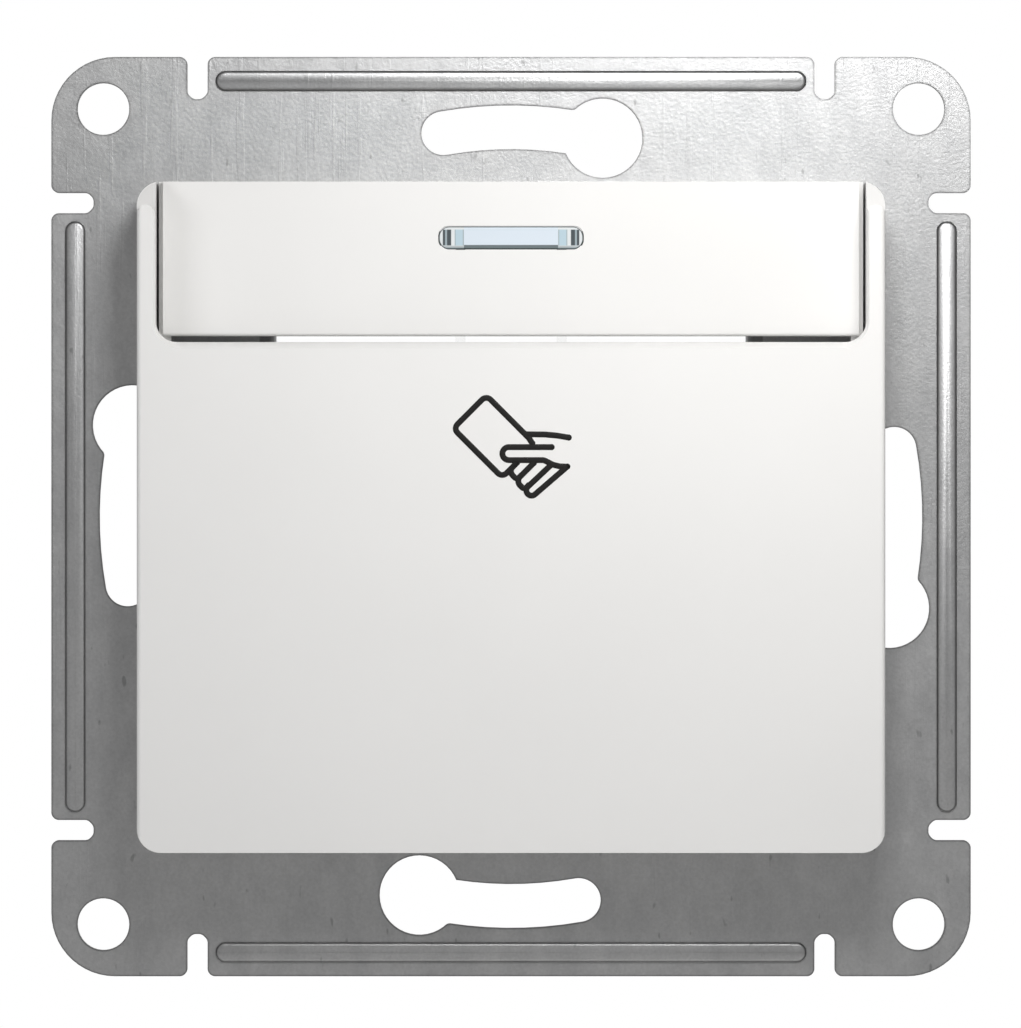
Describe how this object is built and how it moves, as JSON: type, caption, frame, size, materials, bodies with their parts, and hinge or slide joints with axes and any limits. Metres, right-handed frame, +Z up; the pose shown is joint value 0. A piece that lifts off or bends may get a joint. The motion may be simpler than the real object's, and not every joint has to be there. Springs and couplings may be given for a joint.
{
  "type": "key card switch",
  "caption": "Flush hotel key card switch: a white cover with a card slot under a recessed panel and lamp window, on a square steel support strap with claws and a terminal base behind.",
  "frame": {"origin": "centre of the support strap on its back face, which lies on the wall", "axes": "+Z up, +X to the right as seen from the front, the cover faces -Y and the base goes back along +Y"},
  "size_m": [0.0708, 0.0335, 0.0708],
  "materials": {
    "zinc_steel": "zinc-plated sheet, satin",
    "white_plastic": "glossy",
    "clear_plastic": "clear polycarbonate, pale blue",
    "base_plastic": "satin",
    "brass": "bare, drawn strip",
    "contact_silver": "silver alloy",
    "screw_steel": "zinc-plated",
    "spring_steel": "rolled strip",
    "board_laminate": "solder-resist green",
    "lamp_plastic": "moulded",
    "resistor_ceramic": "lacquered"
  },
  "bodies": {
    "device": {"support_strap": "zinc_steel", "claw_pivot_pins": "screw_steel", "front_cover": "white_plastic", "card_frame": "white_plastic", "frame_screws": "screw_steel", "lever_pivot_pin": "screw_steel", "lever_return_spring": "spring_steel", "indicator_light_guide": "clear_plastic", "indicator_board": "board_laminate", "indicator_leds": "lamp_plastic", "board_resistor": "resistor_ceramic", "board_leads": "spring_steel", "base_cap": "base_plastic", "switch_base": "base_plastic", "contact_spring": "spring_steel", "common_contact": "brass", "closed_contact": "brass", "open_contact": "brass", "fixed_contact_rivets": "contact_silver"},
    "card_lever": {"card_lever": "base_plastic"},
    "switch_plunger": {"switch_plunger": "white_plastic"},
    "contact_rocker": {"contact_rocker": "brass", "moving_contact_rivet": "contact_silver"},
    "claw_right": {"claw_right": "zinc_steel"},
    "claw_left": {"claw_left": "zinc_steel"},
    "claw_screw_right": {"claw_screw_right": "screw_steel"},
    "claw_screw_left": {"claw_screw_left": "screw_steel"},
    "terminal_clamp_closed": {"terminal_clamp_closed": "brass"},
    "terminal_screw_closed": {"terminal_screw_closed": "screw_steel"},
    "terminal_clamp_common": {"terminal_clamp_common": "brass"},
    "terminal_screw_common": {"terminal_screw_common": "screw_steel"},
    "terminal_clamp_open": {"terminal_clamp_open": "brass"},
    "terminal_screw_open": {"terminal_screw_open": "screw_steel"}
  },
  "joints": [
    {"name": "card_lever_swing", "type": "hinge", "parent": "device", "child": "card_lever", "pos_m": [0, -0.0048, 0.007], "axis": [1, 0, 0], "range_deg": [0, 5.52], "stiffness_Nm_per_rad": 0.03, "springref_deg": -8.59, "deforming": ["lever_return_spring"]},
    {"name": "plunger_slide", "type": "slide", "parent": "device", "child": "switch_plunger", "axis": [0, 1, 0], "range_m": [0, 0.00096]},
    {"name": "contact_rocker_swing", "type": "hinge", "parent": "device", "child": "contact_rocker", "pos_m": [0, 0.00615, 0.0055], "axis": [1, 0, 0], "range_deg": [0, 6.47], "stiffness_Nm_per_rad": 0.01, "springref_deg": -8.59, "deforming": ["contact_spring"]},
    {"name": "terminal_turn_closed", "type": "hinge", "parent": "device", "child": "terminal_screw_closed", "pos_m": [-0.011, 0.0166, -0.0216], "axis": [0, 0, 1], "range_deg": [0, 1084]},
    {"name": "terminal_lift_closed", "type": "slide", "parent": "device", "child": "terminal_clamp_closed", "axis": [0, 0, -1], "range_m": [0, 0.0015]},
    {"name": "terminal_turn_common", "type": "hinge", "parent": "device", "child": "terminal_screw_common", "pos_m": [0, 0.0166, -0.0216], "axis": [0, 0, 1], "range_deg": [0, 1084]},
    {"name": "terminal_lift_common", "type": "slide", "parent": "device", "child": "terminal_clamp_common", "axis": [0, 0, -1], "range_m": [0, 0.0015]},
    {"name": "terminal_turn_open", "type": "hinge", "parent": "device", "child": "terminal_screw_open", "pos_m": [0.011, 0.0166, -0.0216], "axis": [0, 0, 1], "range_deg": [0, 1084]},
    {"name": "terminal_lift_open", "type": "slide", "parent": "device", "child": "terminal_clamp_open", "axis": [0, 0, -1], "range_m": [0, 0.0015]},
    {"name": "claw_screw_turn_right", "type": "hinge", "parent": "device", "child": "claw_screw_right", "pos_m": [0.0232, -0.00105, 0], "axis": [0, 1, 0], "range_deg": [0, 765]},
    {"name": "claw_spread_right", "type": "hinge", "parent": "device", "child": "claw_right", "pos_m": [0.0209, 0.0022, 0], "axis": [0, 0, -1], "range_deg": [0, 30.1]},
    {"name": "claw_screw_turn_left", "type": "hinge", "parent": "device", "child": "claw_screw_left", "pos_m": [-0.0232, -0.00105, 0], "axis": [0, 1, 0], "range_deg": [0, 765]},
    {"name": "claw_spread_left", "type": "hinge", "parent": "device", "child": "claw_left", "pos_m": [-0.0209, 0.0022, 0], "axis": [0, 0, 1], "range_deg": [0, 30.1]}
  ],
  "couplings": [
    {"joint": "card_lever_swing", "follows": "plunger_slide", "rad_per_m": 100},
    {"joint": "contact_rocker_swing", "follows": "plunger_slide", "rad_per_m": 117.14},
    {"joint": "terminal_turn_closed", "follows": "terminal_lift_closed", "rad_per_m": 12566},
    {"joint": "terminal_turn_common", "follows": "terminal_lift_common", "rad_per_m": 12566},
    {"joint": "terminal_turn_open", "follows": "terminal_lift_open", "rad_per_m": 12566},
    {"joint": "claw_spread_right", "follows": "claw_screw_turn_right", "ratio": 0.039216},
    {"joint": "claw_spread_left", "follows": "claw_screw_turn_left", "ratio": 0.039216}
  ]
}
